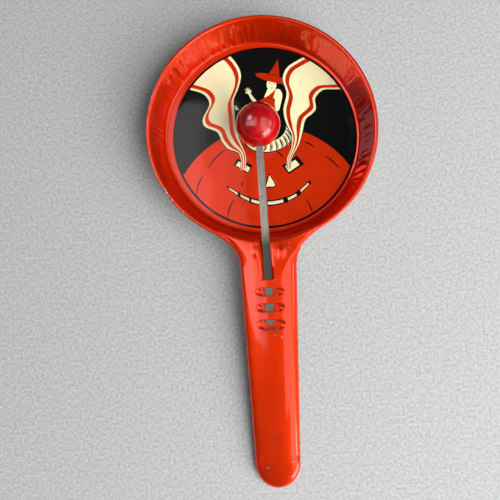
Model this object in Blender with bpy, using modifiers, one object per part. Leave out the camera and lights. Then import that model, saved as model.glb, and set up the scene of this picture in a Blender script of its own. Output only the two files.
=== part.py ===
"""Tin clapper noisemaker: a fluted pan and its handle pressed from one sheet of tinplate, a spring
strip woven through straps in the handle, and a wooden ball on the strip's end that strikes the pan.

Frame: origin at the centre of the pan's underside, +Z up, the handle towards -Y. Metres.
Angles round the pan start at the handle's centreline (-Y) and grow towards +X.
"""

import math

import bmesh
import bpy
from mathutils import Vector

MM = 0.001

# Sheet and pan
SHEET = 0.35 * MM
RIM_RADIUS = 51.0 * MM
RIM_HEIGHT = 16.0 * MM
BEAD_RADIUS = 0.95 * MM
FLOOR_RADIUS = 43.8 * MM
CORNER_RADIUS = 1.5 * MM
BEAD_END = math.radians(-110)

# Neck
NECK_FILLET = 20.0 * MM
NECK_BEND = 2.0 * MM
GROOVE_DEPTH = 1.6 * MM
GROOVE_HALF_WIDTH_AT_PAN = 5.6 * MM
GROOVE_HALF_WIDTH_AT_SLIT = 3.6 * MM
GROOVE_WIDER_ON_RIGHT = 2.6 * MM

# Handle
HANDLE_HALF_WIDTH = 12.25 * MM
HANDLE_TAPER = 0.028
HANDLE_TIP_Y = -158.2 * MM
TIP_LENGTH = 11.0 * MM
CROWN_HEIGHT = 15.6 * MM
HANDLE_SLOPE = 0.106
SLOPE_START_Y = -52.0 * MM
SLOPE_LEAD_IN = 8.0 * MM
DOME_DEPTH = 4.4 * MM
DOME_DEPTH_AT_TIP = 3.9 * MM
DOME_SHARPNESS = 2.3
DOME_EDGE_ANGLE = math.radians(80)
ROLL_RADIUS = 0.9 * MM
ROLL_END = math.radians(-200)

# Lanced straps: the spring passes under the raised ones and over the sunken ones
SLITS_Y = [y * MM for y in (-66.4, -70.0, -73.4, -76.8, -80.3, -83.9, -87.9)]
SLIT_WIDTH = 0.4 * MM
SLIT_HALF_LENGTH = 3.6 * MM
STRAP_HALF_LENGTH = 6.2 * MM
STRAP_FLAT_HALF = 1.9 * MM
STRAP_SUNK = 1.1 * MM
STRAP_RAISED = 0.2 * MM

# Spring strip and ball
STRIP_WIDTH = 3.3 * MM
STRIP_THICKNESS = 0.4 * MM
STRIP_BELOW_CROWN = 0.6 * MM
STRIP_TAIL_Y = -85.8 * MM
STRIP_OFFSET = 0.4 * MM
STRIP_LEAN = math.tan(math.radians(0.95))
FLEXURE_SHARE = 0.15
FLEXURE_GAP = 0.3 * MM
BALL_RADIUS = 9.9 * MM
BALL_Y = 1.65 * MM
BALL_Z = 14.85 * MM
BALL_SLOT_GAP = 0.3 * MM
BALL_SLOT_DEPTH = 7.5 * MM
STRIP_IN_BALL = 7.0 * MM

# Mesh fineness
NECK_COLUMNS = 8
PAN_STATIONS = 48
ROLL_STEPS = 6

# Worked out from the above
BEAD_CENTRE = (RIM_RADIUS - BEAD_RADIUS, RIM_HEIGHT - BEAD_RADIUS)


def wall_angle():
    """The wall's slope that joins the corner to the bead with both arcs tangent, by bisection."""
    low, high = math.radians(60), math.radians(88)
    for _ in range(60):
        slope = (low + high) / 2
        foot = corner_point(slope)
        head = bead_point(slope + math.pi / 2)
        if math.atan2(head[1] - foot[1], head[0] - foot[0]) > slope:
            low = slope
        else:
            high = slope
    return slope


def corner_point(angle):
    return (
        FLOOR_RADIUS + CORNER_RADIUS * math.sin(angle),
        SHEET + CORNER_RADIUS * (1 - math.cos(angle)),
    )


def bead_point(angle):
    return (
        BEAD_CENTRE[0] + BEAD_RADIUS * math.cos(angle),
        BEAD_CENTRE[1] + BEAD_RADIUS * math.sin(angle),
    )


WALL = wall_angle()
EDGE_R, EDGE_Z = bead_point(WALL + math.pi / 2)
NECK_Z = CROWN_HEIGHT - NECK_BEND * (1 - math.cos(WALL))
NECK_R = EDGE_R - (EDGE_Z - NECK_Z) / math.tan(WALL)
FILLET_X = HANDLE_HALF_WIDTH + NECK_FILLET
FILLET_Y = -math.sqrt((EDGE_R + NECK_FILLET) ** 2 - FILLET_X**2)
NECK_ANGLE = math.atan2(FILLET_X, -FILLET_Y)
TIP_START_Y = HANDLE_TIP_Y + TIP_LENGTH
SPRING_ROOT_Y = SLITS_Y[0]


def smooth(t):
    t = min(1.0, max(0.0, t))
    return t * t * (3 - 2 * t)


def mix(a, b, t):
    return a + (b - a) * t


def crown(y):
    """Height of the handle's ridge: level at the neck, then a steady slope down to the tip."""
    run = max(0.0, SLOPE_START_Y - y)
    if run < SLOPE_LEAD_IN:
        return CROWN_HEIGHT - HANDLE_SLOPE * run * run / (2 * SLOPE_LEAD_IN)
    return CROWN_HEIGHT - HANDLE_SLOPE * (run - SLOPE_LEAD_IN / 2)


def half_width(y):
    return HANDLE_HALF_WIDTH - HANDLE_TAPER * max(0.0, FILLET_Y - y)


def dome_depth(y):
    share = (FILLET_Y - y) / (FILLET_Y - HANDLE_TIP_Y)
    return mix(DOME_DEPTH, DOME_DEPTH_AT_TIP, smooth(share))


def across(share):
    """Angle on the dome's superellipse at that share, -1 to 1, of its half width."""
    power = DOME_SHARPNESS / 2
    edge = math.sin(DOME_EDGE_ANGLE) ** (1 / power)
    return math.asin(min(1.0, abs(share) * edge) ** power) / DOME_EDGE_ANGLE


def dome_drop(t):
    """Share of the dome's depth lost at t, from 0 on the ridge to 1 at the edge."""
    return 1 - math.cos(min(1.0, t) * DOME_EDGE_ANGLE) ** (2 / DOME_SHARPNESS)


def dome_edge_slope(y):
    power = 2 / DOME_SHARPNESS
    full = half_width(y) / math.sin(DOME_EDGE_ANGLE) ** power
    return -math.atan(dome_depth(y) / full * math.tan(DOME_EDGE_ANGLE) ** (2 - power))


def groove(x, y):
    """Depth of the pressed groove that the spring runs in, from the pan's wall to the first slit."""
    if y < SPRING_ROOT_Y:
        return 0.0
    along = max(0.0, (-y - NECK_R) / (-SPRING_ROOT_Y - NECK_R))
    width = mix(GROOVE_HALF_WIDTH_AT_PAN, GROOVE_HALF_WIDTH_AT_SLIT, along)
    if x > 0:
        width += GROOVE_WIDER_ON_RIGHT
    depth = mix(GROOVE_DEPTH, STRAP_SUNK, along)
    return depth * smooth((width - abs(x)) / (width - STRAP_FLAT_HALF))


def strap(x, y):
    """Height that lancing adds to a strap at that place, or 0 outside the lanced field."""
    if not SLITS_Y[-1] < y < SLITS_Y[0]:
        return 0.0
    below = sum(1 for slit in SLITS_Y if y < slit)
    if below % 2:
        return STRAP_RAISED * smooth((SLIT_HALF_LENGTH - abs(x)) / (SLIT_HALF_LENGTH - STRAP_FLAT_HALF))
    half = (SLITS_Y[below - 1] - SLITS_Y[below]) / 2
    rounded = math.hypot(max(0.0, abs(x) - STRAP_HALF_LENGTH + half), y - SLITS_Y[below] - half)
    dimple = smooth((half - rounded) / (half / 2))
    return -STRAP_SUNK * (1.0 if abs(x) < SLIT_HALF_LENGTH - SLIT_WIDTH else dimple)


def neck_bend(distance):
    """Rise of the sheet where it leaves the wall and bends over into the handle."""
    lean = math.sin(WALL) - min(distance, NECK_BEND * math.sin(WALL)) / NECK_BEND
    return NECK_BEND * (math.sqrt(max(0.0, 1 - lean * lean)) - math.cos(WALL))


def pan_rings():
    """Radius and height of each ring from the floor up to the neck's bend."""
    rings = [(share * FLOOR_RADIUS, SHEET) for share in (0.35, 0.7, 1.0)]
    rings += [corner_point(WALL * share) for share in (0.35, 0.7, 1.0)]
    foot_r, foot_z = rings[-1]
    rings.append((mix(foot_r, NECK_R, 0.5), mix(foot_z, NECK_Z, 0.5)))
    rings.append((NECK_R, NECK_Z))
    return rings


def column_shares():
    """Columns across the handle, as shares of its half width: they meet the slits' and straps' ends."""
    slit_end = SLIT_HALF_LENGTH / HANDLE_HALF_WIDTH
    strap_end = STRAP_HALF_LENGTH / HANDLE_HALF_WIDTH
    sunk_end = slit_end - 0.05
    half = [0.14, sunk_end, slit_end, (slit_end + strap_end) / 2, strap_end, 0.68, 0.84, 1.0]
    return [-share for share in reversed(half)] + [0.0] + half


def around(radius, angle, z):
    return Vector((radius * math.sin(angle), -radius * math.cos(angle), z))


def neck_rows(columns):
    """Rows of points from the wall's bend to the straight handle, and the slope at their edges."""
    rows, edges = [], []
    last = -FILLET_Y - NECK_R
    for run, share in zip(
        (0.5 * MM, 1.1 * MM, 1.93 * MM, 3.6 * MM, 6.2 * MM, 9.2 * MM, last),
        (0.0, 0.1, 0.22, 0.38, 0.56, 0.78, 1.0),
    ):
        turn = math.pi - NECK_ANGLE_AT_FILLET * (1 - share)
        edge_x = FILLET_X + NECK_FILLET * math.cos(turn)
        edge_y = FILLET_Y + NECK_FILLET * math.sin(turn)
        edge_z = mix(EDGE_Z, crown(edge_y) - DOME_DEPTH * dome_drop(1), smooth(share))
        row = []
        for i, column in enumerate(columns):
            angle = NECK_ANGLE * (i - NECK_COLUMNS) / NECK_COLUMNS
            curved = around(NECK_R + run, angle, 0)
            straight = Vector((column * HANDLE_HALF_WIDTH, -(NECK_R + run), 0))
            place = curved.lerp(straight, smooth(share))
            pull = abs(column) ** 3
            here = Vector((math.copysign(edge_x, column), edge_y, 0))
            ends = [around(NECK_R + run, math.copysign(NECK_ANGLE, column), 0)]
            ends.append(Vector((math.copysign(HANDLE_HALF_WIDTH, column), -(NECK_R + run), 0)))
            place += (here - ends[0].lerp(ends[1], smooth(share))) * pull
            distance = place.length - NECK_R
            height = NECK_Z + neck_bend(distance) + crown(place.y) - CROWN_HEIGHT
            height -= DOME_DEPTH * dome_drop(across(column)) * smooth(share)
            place.z = mix(height - groove(place.x, place.y), edge_z, pull * (1 - smooth(share)))
            row.append(place)
        rows.append(row)
        edges.append(
            (
                mix(WALL, dome_edge_slope(FILLET_Y), smooth(share)),
                mix(BEAD_RADIUS, ROLL_RADIUS, share),
                mix(BEAD_END, ROLL_END, smooth(share)),
            )
        )
    return rows, edges


NECK_ANGLE_AT_FILLET = math.pi / 2 - NECK_ANGLE


def handle_rows(columns):
    """Rows of points along the straight handle and round its tip."""
    levels = [(FILLET_Y + SLITS_Y[0]) / 2]
    for here, there in zip(SLITS_Y, SLITS_Y[1:] + [None]):
        levels += [here + SLIT_WIDTH / 2, here - SLIT_WIDTH / 2]
        if there is not None:
            levels.append((here + there) / 2)
    plain = 7
    levels += [mix(SLITS_Y[-1], TIP_START_Y + 3 * MM, (k + 1) / plain) for k in range(plain)]
    rows = []
    for y in levels:
        row = []
        for column in columns:
            x = column * half_width(y)
            z = crown(y) - dome_depth(y) * dome_drop(across(column))
            row.append(Vector((x, y, z - groove(x, y) + strap(x, y))))
        rows.append(row)
    tip_steps = 5
    start, width = levels[-1], half_width(TIP_START_Y)
    for step in range(1, tip_steps + 1):
        reach = math.sin(math.pi / 2 * step / tip_steps)
        row = []
        for column in columns:
            turn = column * math.pi / 2
            round_end = Vector((width * math.sin(turn), TIP_START_Y - TIP_LENGTH * math.cos(turn), 0))
            flat_end = Vector((column * half_width(start), start, 0))
            place = flat_end.lerp(round_end, reach)
            t = (across(column) ** 3 + across(reach) ** 3) ** (1 / 3)
            place.z = crown(place.y) - dome_depth(place.y) * dome_drop(t)
            row.append(place)
        rows.append(row)
    return rows


def slit_rows(first):
    """Index of the row above each slit."""
    return [first + 1 + 3 * k for k in range(len(SLITS_Y))]


def rolled(edge, outward, slope, radius, end):
    """Points of the sheet's edge rolled over from its slope to the end angle."""
    start = slope + math.pi / 2
    centre = edge - radius * (outward * math.cos(start) + Vector((0, 0, math.sin(start))))
    angles = [mix(start, end, (k + 1) / ROLL_STEPS) for k in range(ROLL_STEPS)]
    return [centre + radius * (outward * math.cos(a) + Vector((0, 0, math.sin(a)))) for a in angles]


def add_ring(bm, points):
    return [bm.verts.new(point) for point in points]


def add_quads(bm, low, high, skip=()):
    """Faces between two rows of vertices, both in the same order."""
    for i in range(len(low) - 1):
        if i not in skip:
            bm.faces.new((low[i], low[i + 1], high[i + 1], high[i]))


def sheet_surface():
    """The printed side of the sheet as one open surface: pan, neck, handle and rolled edge."""
    bm = bmesh.new()
    columns = column_shares()
    neck = [NECK_ANGLE * (i - NECK_COLUMNS) / NECK_COLUMNS for i in range(2 * NECK_COLUMNS + 1)]
    open_arc = 2 * math.pi - 2 * NECK_ANGLE
    pan = [NECK_ANGLE + open_arc * i / PAN_STATIONS for i in range(1, PAN_STATIONS)]
    angles = neck + pan

    rings = [add_ring(bm, [around(r, a, z) for a in angles]) for r, z in pan_rings()]
    for vert in rings[-1][: len(neck)]:
        dip = groove(vert.co.x, -NECK_R)
        vert.co -= around(dip / math.tan(WALL), math.atan2(vert.co.x, -vert.co.y), dip)
    centre = bm.verts.new((0, 0, SHEET))
    for i in range(len(angles)):
        bm.faces.new((centre, rings[0][i - 1], rings[0][i]))
    for low, high in zip(rings, rings[1:]):
        add_quads(bm, high + high[:1], low + low[:1])

    top = rings[-1]
    junctions = len(neck) - 1
    rim = add_ring(bm, [around(EDGE_R, a, EDGE_Z) for a in angles[junctions:] + angles[:1]])
    add_quads(bm, rim, top[junctions:] + top[:1])

    neck_points, neck_edges = neck_rows(columns)
    rows = [[rim[-1]] + add_ring(bm, neck_points[0][1:-1]) + [rim[0]]]
    rows += [add_ring(bm, row) for row in neck_points[1:]]
    first_handle_row = len(rows)
    rows += [add_ring(bm, row) for row in handle_rows(columns)]
    add_quads(bm, rows[0], top[: len(neck)])
    slits = slit_rows(first_handle_row)
    for j in range(len(rows) - 1):
        open_half = SLIT_HALF_LENGTH if j in slits else 0.0
        low, high = rows[j + 1], rows[j]
        skip = [i for i in range(len(low) - 1) if abs(low[i].co.x + low[i + 1].co.x) / 2 < open_half]
        add_quads(bm, low, high, skip)

    add_rolled_edge(bm, rim, rows, neck_edges)
    mesh = bpy.data.meshes.new("pan_and_handle")
    bm.to_mesh(mesh)
    bm.free()
    return mesh


def add_rolled_edge(bm, rim, rows, neck_edges):
    """Rolls the free edge all the way round: the pan's rim, both sides of the handle and its tip."""
    loop = [(vert, (WALL, BEAD_RADIUS, BEAD_END)) for vert in rim]

    def side(vert, j):
        if j < len(neck_edges):
            return vert, neck_edges[j]
        return vert, (dome_edge_slope(vert.co.y), ROLL_RADIUS, ROLL_END)

    loop += [side(row[0], j) for j, row in enumerate(rows) if j > 0]
    loop += [side(vert, len(rows)) for vert in rows[-1][1:-1]]
    loop += [side(rows[j][-1], j) for j in range(len(rows) - 1, 0, -1)]

    rolls = []
    for i, (vert, shape) in enumerate(loop):
        along = loop[(i + 1) % len(loop)][0].co - loop[i - 1][0].co
        outward = Vector((along.y, -along.x, 0)).normalized()
        rolls.append([vert] + add_ring(bm, rolled(vert.co, outward, *shape)))
    for before, after in zip(rolls, rolls[1:] + rolls[:1]):
        add_quads(bm, before, after)


def strip_height(y):
    """Height of the strip's middle: along the handle, then in a gentle bow to the ball."""
    root = crown(SPRING_ROOT_Y) - STRIP_BELOW_CROWN
    if y <= SPRING_ROOT_Y:
        return crown(y) - STRIP_BELOW_CROWN
    reach = BALL_Y - SPRING_ROOT_Y
    bow = (root + HANDLE_SLOPE * reach - BALL_Z) / reach**2
    run = y - SPRING_ROOT_Y
    return root + HANDLE_SLOPE * run - bow * run * run


def strip_point(y):
    """A point on the strip's centreline, with the slight sideways lean of its free length."""
    return Vector((-STRIP_OFFSET - STRIP_LEAN * max(0.0, y - SPRING_ROOT_Y), y, strip_height(y)))


def strip_object(name, points, material):
    """A flat strip along those points: a ribbon with its thickness from Solidify."""
    mesh = bpy.data.meshes.new(name)
    bm = bmesh.new()
    half = Vector((STRIP_WIDTH / 2, 0, 0))
    left = [bm.verts.new(point - half) for point in points]
    right = [bm.verts.new(point + half) for point in points]
    for i in range(len(points) - 1):
        bm.faces.new((left[i], right[i], right[i + 1], left[i + 1]))
    bm.to_mesh(mesh)
    bm.free()
    strip = place(name, mesh, material)
    thicken(strip, STRIP_THICKNESS, 0.0)
    return strip


def thicken(obj, thickness, offset):
    solidify = obj.modifiers.new("Solidify", "SOLIDIFY")
    solidify.thickness = thickness
    solidify.offset = offset
    solidify.use_even_offset = True


def place(name, mesh, material, collection=None):
    obj = bpy.data.objects.new(name, mesh)
    (collection or bpy.data.collections["clapper_noisemaker"]).objects.link(obj)
    if material:
        obj.data.materials.append(material)
    return obj


def make_material(name, colour, roughness, metallic):
    material = bpy.data.materials.new(name)
    material.use_nodes = True
    shader = material.node_tree.nodes["Principled BSDF"]
    shader.inputs["Base Color"].default_value = (*colour, 1.0)
    shader.inputs["Roughness"].default_value = roughness
    shader.inputs["Metallic"].default_value = metallic
    return material


def make_pan_and_handle():
    enamel = make_material("orange_litho_enamel", (0.73, 0.04, 0.004), 0.25, 0.0)
    sheet = place("pan_and_handle", sheet_surface(), enamel)
    thicken(sheet, SHEET, -1.0)
    sheet.data.shade_smooth()


def make_spring(flexure):
    """The spring strip in its two bodies, either side of the line that it bends about."""
    steel = make_material("grey_spring_steel", (0.35, 0.34, 0.31), 0.4, 1.0)
    tail_steps, arm_steps = 8, 16
    tail_end = flexure.y - FLEXURE_GAP / 2
    tail = [strip_point(mix(STRIP_TAIL_Y, SPRING_ROOT_Y, k / tail_steps)) for k in range(tail_steps)]
    tail += [strip_point(mix(SPRING_ROOT_Y, tail_end, share)) for share in (0.0, 0.5, 1.0)]
    strip_object("spring_strip_tail", tail, steel)
    arm_end = BALL_Y - BALL_RADIUS + STRIP_IN_BALL
    start = flexure.y + FLEXURE_GAP / 2
    arm = [strip_point(mix(start, arm_end, k / arm_steps)) for k in range(arm_steps + 1)]
    return strip_object("spring_strip_arm", arm, steel)


def make_ball():
    paint = make_material("red_painted_wood", (0.45, 0.004, 0.01), 0.2, 0.0)
    centre = strip_point(BALL_Y)
    mesh = bpy.data.meshes.new("clapper_ball")
    bm = bmesh.new()
    bmesh.ops.create_uvsphere(bm, u_segments=32, v_segments=20, radius=BALL_RADIUS)
    bmesh.ops.rotate(bm, verts=bm.verts, matrix=turned_to_y())
    bm.to_mesh(mesh)
    bm.free()
    ball = place("clapper_ball", mesh, paint)
    ball.location = centre
    ball.data.shade_smooth()

    slot = bpy.data.meshes.new("ball_slot")
    size = Vector((STRIP_WIDTH, 2 * BALL_SLOT_DEPTH, STRIP_THICKNESS))
    size += Vector((2 * BALL_SLOT_GAP, 0, 2 * BALL_SLOT_GAP))
    bm = bmesh.new()
    bmesh.ops.create_cube(bm, size=1.0)
    bmesh.ops.scale(bm, vec=size, verts=bm.verts)
    bm.to_mesh(slot)
    bm.free()
    cutter = place("ball_slot_cutter", slot, None, bpy.data.collections["cutters"])
    mouth = strip_point(BALL_Y - BALL_RADIUS)
    cutter.location = mouth
    cutter.rotation_euler = (centre - mouth).to_track_quat("Y", "Z").to_euler()
    cutter.hide_render = True
    cutter.display_type = "WIRE"
    cut = ball.modifiers.new("Slot", "BOOLEAN")
    cut.operation = "DIFFERENCE"
    cut.object = cutter
    return ball


def turned_to_y():
    """Turns a shape made along Z to lie along Y."""
    return Vector((0, 0, 1)).rotation_difference(Vector((0, 1, 0))).to_matrix()


def keep_in_place(child, parent):
    bpy.context.view_layer.update()
    child.parent = parent
    child.matrix_parent_inverse = parent.matrix_world.inverted()


def main():
    for obj in list(bpy.data.objects):
        bpy.data.objects.remove(obj)
    for name in ("clapper_noisemaker", "cutters"):
        collection = bpy.data.collections.new(name)
        bpy.context.scene.collection.children.link(collection)
    flexure = strip_point(mix(SPRING_ROOT_Y, BALL_Y, FLEXURE_SHARE))
    pivot = bpy.data.objects.new("clapper_pivot", None)
    bpy.data.collections["clapper_noisemaker"].objects.link(pivot)
    pivot.location = flexure
    make_pan_and_handle()
    arm = make_spring(flexure)
    ball = make_ball()
    for moving in (arm, ball):
        keep_in_place(moving, pivot)


main()
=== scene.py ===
"""Looks of the tin clapper noisemaker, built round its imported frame: the fluted tin pressing with its
printed face, the spring strip woven through the handle, and the painted wooden ball.

Lengths are millimetres in the object's frame until mesh_object() turns them into metres. Angles round the
pan start at the handle's centreline (-Y) and grow towards +X.
"""

import math

import bmesh
import bpy
import numpy as np
from mathutils import Matrix, Vector, noise
from mathutils.geometry import delaunay_2d_cdt


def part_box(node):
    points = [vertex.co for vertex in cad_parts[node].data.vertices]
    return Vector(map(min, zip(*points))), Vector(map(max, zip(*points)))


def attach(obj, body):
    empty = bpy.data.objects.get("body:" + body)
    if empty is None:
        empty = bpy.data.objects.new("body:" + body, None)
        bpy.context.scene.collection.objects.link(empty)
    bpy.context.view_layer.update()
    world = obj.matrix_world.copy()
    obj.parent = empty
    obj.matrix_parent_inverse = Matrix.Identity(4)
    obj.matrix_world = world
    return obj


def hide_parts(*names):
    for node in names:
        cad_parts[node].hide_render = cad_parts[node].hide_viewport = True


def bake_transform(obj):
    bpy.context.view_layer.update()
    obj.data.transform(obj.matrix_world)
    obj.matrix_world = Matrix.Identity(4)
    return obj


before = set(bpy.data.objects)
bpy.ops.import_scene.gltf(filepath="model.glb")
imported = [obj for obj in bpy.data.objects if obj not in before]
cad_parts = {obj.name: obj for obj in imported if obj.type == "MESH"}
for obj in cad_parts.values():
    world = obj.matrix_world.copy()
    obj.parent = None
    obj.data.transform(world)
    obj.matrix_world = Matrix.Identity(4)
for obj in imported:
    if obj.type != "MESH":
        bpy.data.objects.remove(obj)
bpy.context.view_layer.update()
MM = 0.001
sheet_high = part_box("pan_and_handle")[1] / MM
ball_low, ball_high = (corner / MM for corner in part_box("clapper_ball"))
tail_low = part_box("spring_strip_tail")[0] / MM
arm_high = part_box("spring_strip_arm")[1] / MM

# ---------------------------------------------------------------- the sheet's sizes
SHEET = 0.35
RIM_RADIUS = sheet_high.x
RIM_HEIGHT = sheet_high.z
BEAD_RADIUS = 0.95
FLOOR_RADIUS = 43.8
CORNER_RADIUS = 1.5
BEAD_END = math.radians(-110)
NECK_FILLET = 20.0
NECK_BEND = 2.0
GROOVE_DEPTH = 1.6
GROOVE_EDGES_AT_PAN = (-5.4, 2.2)
GROOVE_EDGES_AT_SLIT = (-3.4, 1.9)
GROOVE_BED = (-2.4, 1.4)
GROOVE_SHELF = 0.75
GROOVE_SHELF_RUN_IN = 0.5
GROOVE_SHELF_AT_SLIT = 0.1
GUIDE_BUMPS = ((-5.2, -54.2), (5.6, -54.6))
GUIDE_BUMP_HEIGHT = 0.7
GUIDE_BUMP_REACH = (1.5, 2.4)
HANDLE_HALF_WIDTH = 12.25
HANDLE_TAPER = 0.028
HANDLE_TIP_Y = -158.15
TIP_LENGTH = 11.0
CROWN_HEIGHT = 15.6
HANDLE_SLOPE = 0.106
SLOPE_START_Y = -52.0
SLOPE_LEAD_IN = 8.0
DOME_DEPTH = 4.4
DOME_DEPTH_AT_TIP = 3.9
DOME_SHARPNESS = 2.5
DOME_EDGE_ANGLE = math.radians(80)
ROLL_RADIUS = 0.9
ROLL_END = math.radians(-200)
SLITS_Y = (-66.4, -70.0, -73.4, -76.8, -80.3, -83.9, -87.9)
SLIT_WIDTH = 0.14
SLIT_HALF_LENGTH = 3.6
PAD_HALF_LENGTH = 6.0
STRAP_SUNK = 1.1
STRAP_RAISED = 0.1
STRAP_RAISED_EASE = 2.6
PAD_EASE = 1.1
STRAP_CUT_PAST_SLIT = 0.3
STRAP_CUT_EASE = 0.6
FLUTE_COUNT = 88
FLUTE_DEPTH = 0.34
CREASE_HEIGHT = 0.14

# ---------------------------------------------------------------- the print's sizes
PRINT_CENTRE = (1.37, -0.07)
PRINT_RADIUS = 42.65
RING_LINE = 1.0
ART_EDGE = 44.5
FLOOR_PITCH = 1.5


def smooth(t):
    t = min(1.0, max(0.0, t))
    return t * t * (3 - 2 * t)


def mix(a, b, t):
    return a + (b - a) * t


def corner_point(angle):
    lift = CORNER_RADIUS * (1 - math.cos(angle))
    return FLOOR_RADIUS + CORNER_RADIUS * math.sin(angle), SHEET + lift


def bead_point(angle):
    radius = RIM_RADIUS - BEAD_RADIUS + BEAD_RADIUS * math.cos(angle)
    return radius, RIM_HEIGHT - BEAD_RADIUS + BEAD_RADIUS * math.sin(angle)


def wall_angle():
    """The wall's slope that joins the corner to the bead with both arcs tangent, by bisection."""
    low, high = math.radians(60), math.radians(88)
    for _ in range(60):
        slope = (low + high) / 2
        foot, head = corner_point(slope), bead_point(slope + math.pi / 2)
        if math.atan2(head[1] - foot[1], head[0] - foot[0]) > slope:
            low = slope
        else:
            high = slope
    return slope


WALL = wall_angle()
EDGE_R, EDGE_Z = bead_point(WALL + math.pi / 2)
NECK_Z = CROWN_HEIGHT - NECK_BEND * (1 - math.cos(WALL))
NECK_R = EDGE_R - (EDGE_Z - NECK_Z) / math.tan(WALL)
FILLET_X = HANDLE_HALF_WIDTH + NECK_FILLET
FILLET_Y = -math.sqrt((EDGE_R + NECK_FILLET) ** 2 - FILLET_X**2)
NECK_ANGLE = math.atan2(FILLET_X, -FILLET_Y)
TIP_START_Y = HANDLE_TIP_Y + TIP_LENGTH


# ---------------------------------------------------------------- the sheet's form
def crown(y):
    run = max(0.0, SLOPE_START_Y - y)
    if run < SLOPE_LEAD_IN:
        return CROWN_HEIGHT - HANDLE_SLOPE * run * run / (2 * SLOPE_LEAD_IN)
    return CROWN_HEIGHT - HANDLE_SLOPE * (run - SLOPE_LEAD_IN / 2)


def half_width(y):
    return HANDLE_HALF_WIDTH - HANDLE_TAPER * max(0.0, FILLET_Y - y)


def dome_depth(y):
    return mix(DOME_DEPTH, DOME_DEPTH_AT_TIP, smooth((FILLET_Y - y) / (FILLET_Y - HANDLE_TIP_Y)))


def across(share):
    power = DOME_SHARPNESS / 2
    edge = math.sin(DOME_EDGE_ANGLE) ** (1 / power)
    return math.asin(min(1.0, abs(share) * edge) ** power) / DOME_EDGE_ANGLE


def dome_drop(t):
    return 1 - math.cos(min(1.0, t) * DOME_EDGE_ANGLE) ** (2 / DOME_SHARPNESS)


def dome_edge_slope(y):
    power = 2 / DOME_SHARPNESS
    full = half_width(y) / math.sin(DOME_EDGE_ANGLE) ** power
    return -math.atan(dome_depth(y) / full * math.tan(DOME_EDGE_ANGLE) ** (2 - power))


def groove(x, y, dome=0.0):
    """Depth of the groove that the spring runs in, below a dome that has already dropped that far.

    Its bed is wide and level, and on the right it runs out to the dome's shoulder."""
    if y < SLITS_Y[0]:
        return 0.0
    along = max(0.0, (-y - NECK_R) / (-SLITS_Y[0] - NECK_R))
    side = 0 if x < 0 else 1
    edge = mix(GROOVE_EDGES_AT_PAN[side], GROOVE_EDGES_AT_SLIT[side], along)
    depth = mix(GROOVE_DEPTH, STRAP_SUNK, along)
    cut = depth * smooth((edge - x) / (edge - GROOVE_BED[side]))
    if side == 1:
        shelf = mix(GROOVE_DEPTH, GROOVE_SHELF, smooth(along / GROOVE_SHELF_RUN_IN))
        shelf *= mix(1.0, GROOVE_SHELF_AT_SLIT, smooth(1.8 * along - 0.8))
        cut = max(cut - dome * 0.5, shelf - dome, 0.0)
    return cut


def guide_bumps(x, y):
    """Two puckers that keep the spring central where it leaves the pan."""
    height = 0.0
    reach_x, reach_y = GUIDE_BUMP_REACH
    for cx, cy in GUIDE_BUMPS:
        height += GUIDE_BUMP_HEIGHT * math.exp(-(((x - cx) / reach_x) ** 2) - ((y - cy) / reach_y) ** 2)
    return height


def strap(x, y):
    """Height that lancing adds: the straps between slits are pushed down and lifted in turn."""
    if not SLITS_Y[-1] < y < SLITS_Y[0]:
        return 0.0
    below = sum(1 for slit in SLITS_Y if y < slit)
    raised = below % 2 == 1
    middle = (SLITS_Y[below - 1] + SLITS_Y[below]) / 2
    half = (SLITS_Y[below - 1] - SLITS_Y[below]) / 2
    if raised:
        return STRAP_RAISED * smooth((SLIT_HALF_LENGTH - abs(x)) / STRAP_RAISED_EASE)
    reach = max(0.0, abs(x) - (PAD_HALF_LENGTH - half))
    inside = half - math.hypot(reach, y - middle)
    dimple = smooth(inside / PAD_EASE)
    cut = smooth((SLIT_HALF_LENGTH + STRAP_CUT_PAST_SLIT - abs(x)) / STRAP_CUT_EASE)
    return -STRAP_SUNK * mix(dimple, 1.0, cut)


def neck_bend(distance):
    lean = math.sin(WALL) - min(distance, NECK_BEND * math.sin(WALL)) / NECK_BEND
    return NECK_BEND * (math.sqrt(max(0.0, 1 - lean * lean)) - math.cos(WALL))


def around(radius, angle, z):
    return Vector((radius * math.sin(angle), -radius * math.cos(angle), z))


def flute_strength(angle):
    """How deep the wall's flutes are round the pan: deepest at the far left, faint near the neck."""
    far_left, right = math.radians(222), math.radians(75)
    left_share = math.exp(-(((angle % math.tau) - far_left) / math.radians(38)) ** 4)
    right_share = math.exp(-(((angle % math.tau) - right) / math.radians(33)) ** 4)
    return 0.2 + 0.8 * left_share + 0.25 * right_share


def wall_noise(angle, rise, closeness, climb, offset=0.0):
    """Smooth noise round the wall: closeness is how fast it changes round it, climb how fast up it."""
    c, s = math.cos(angle), math.sin(angle)
    return noise.noise((closeness * s, closeness * c, climb * rise + offset))


def flute(angle, rise):
    """Inward displacement of the wall at a share of its rise: uneven pressing folds and a foot crease."""
    phase = FLUTE_COUNT * angle + 3.8 * wall_noise(angle, rise, 3.1, 0.7)
    phase += 3.4 * wall_noise(angle, rise, 10, 0.9, 4)
    fold = math.sin(phase) * (0.55 + 1.1 * wall_noise(angle, rise, 8, 0, 7.7))
    fold += 1.1 * wall_noise(angle, rise, 30, 1.2) + 0.9 * wall_noise(angle, rise, 14, 1.0, 2)
    foot = 0.6 * smooth(1 + rise)
    envelope = mix(foot, 1.0, smooth(rise / 0.25)) * smooth((1 - rise) / 0.16)
    crease = CREASE_HEIGHT * math.exp(-((rise / 0.03) ** 2)) * (1 + 0.5 * fold)
    return flute_strength(angle) * (FLUTE_DEPTH * fold * envelope + crease)


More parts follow.
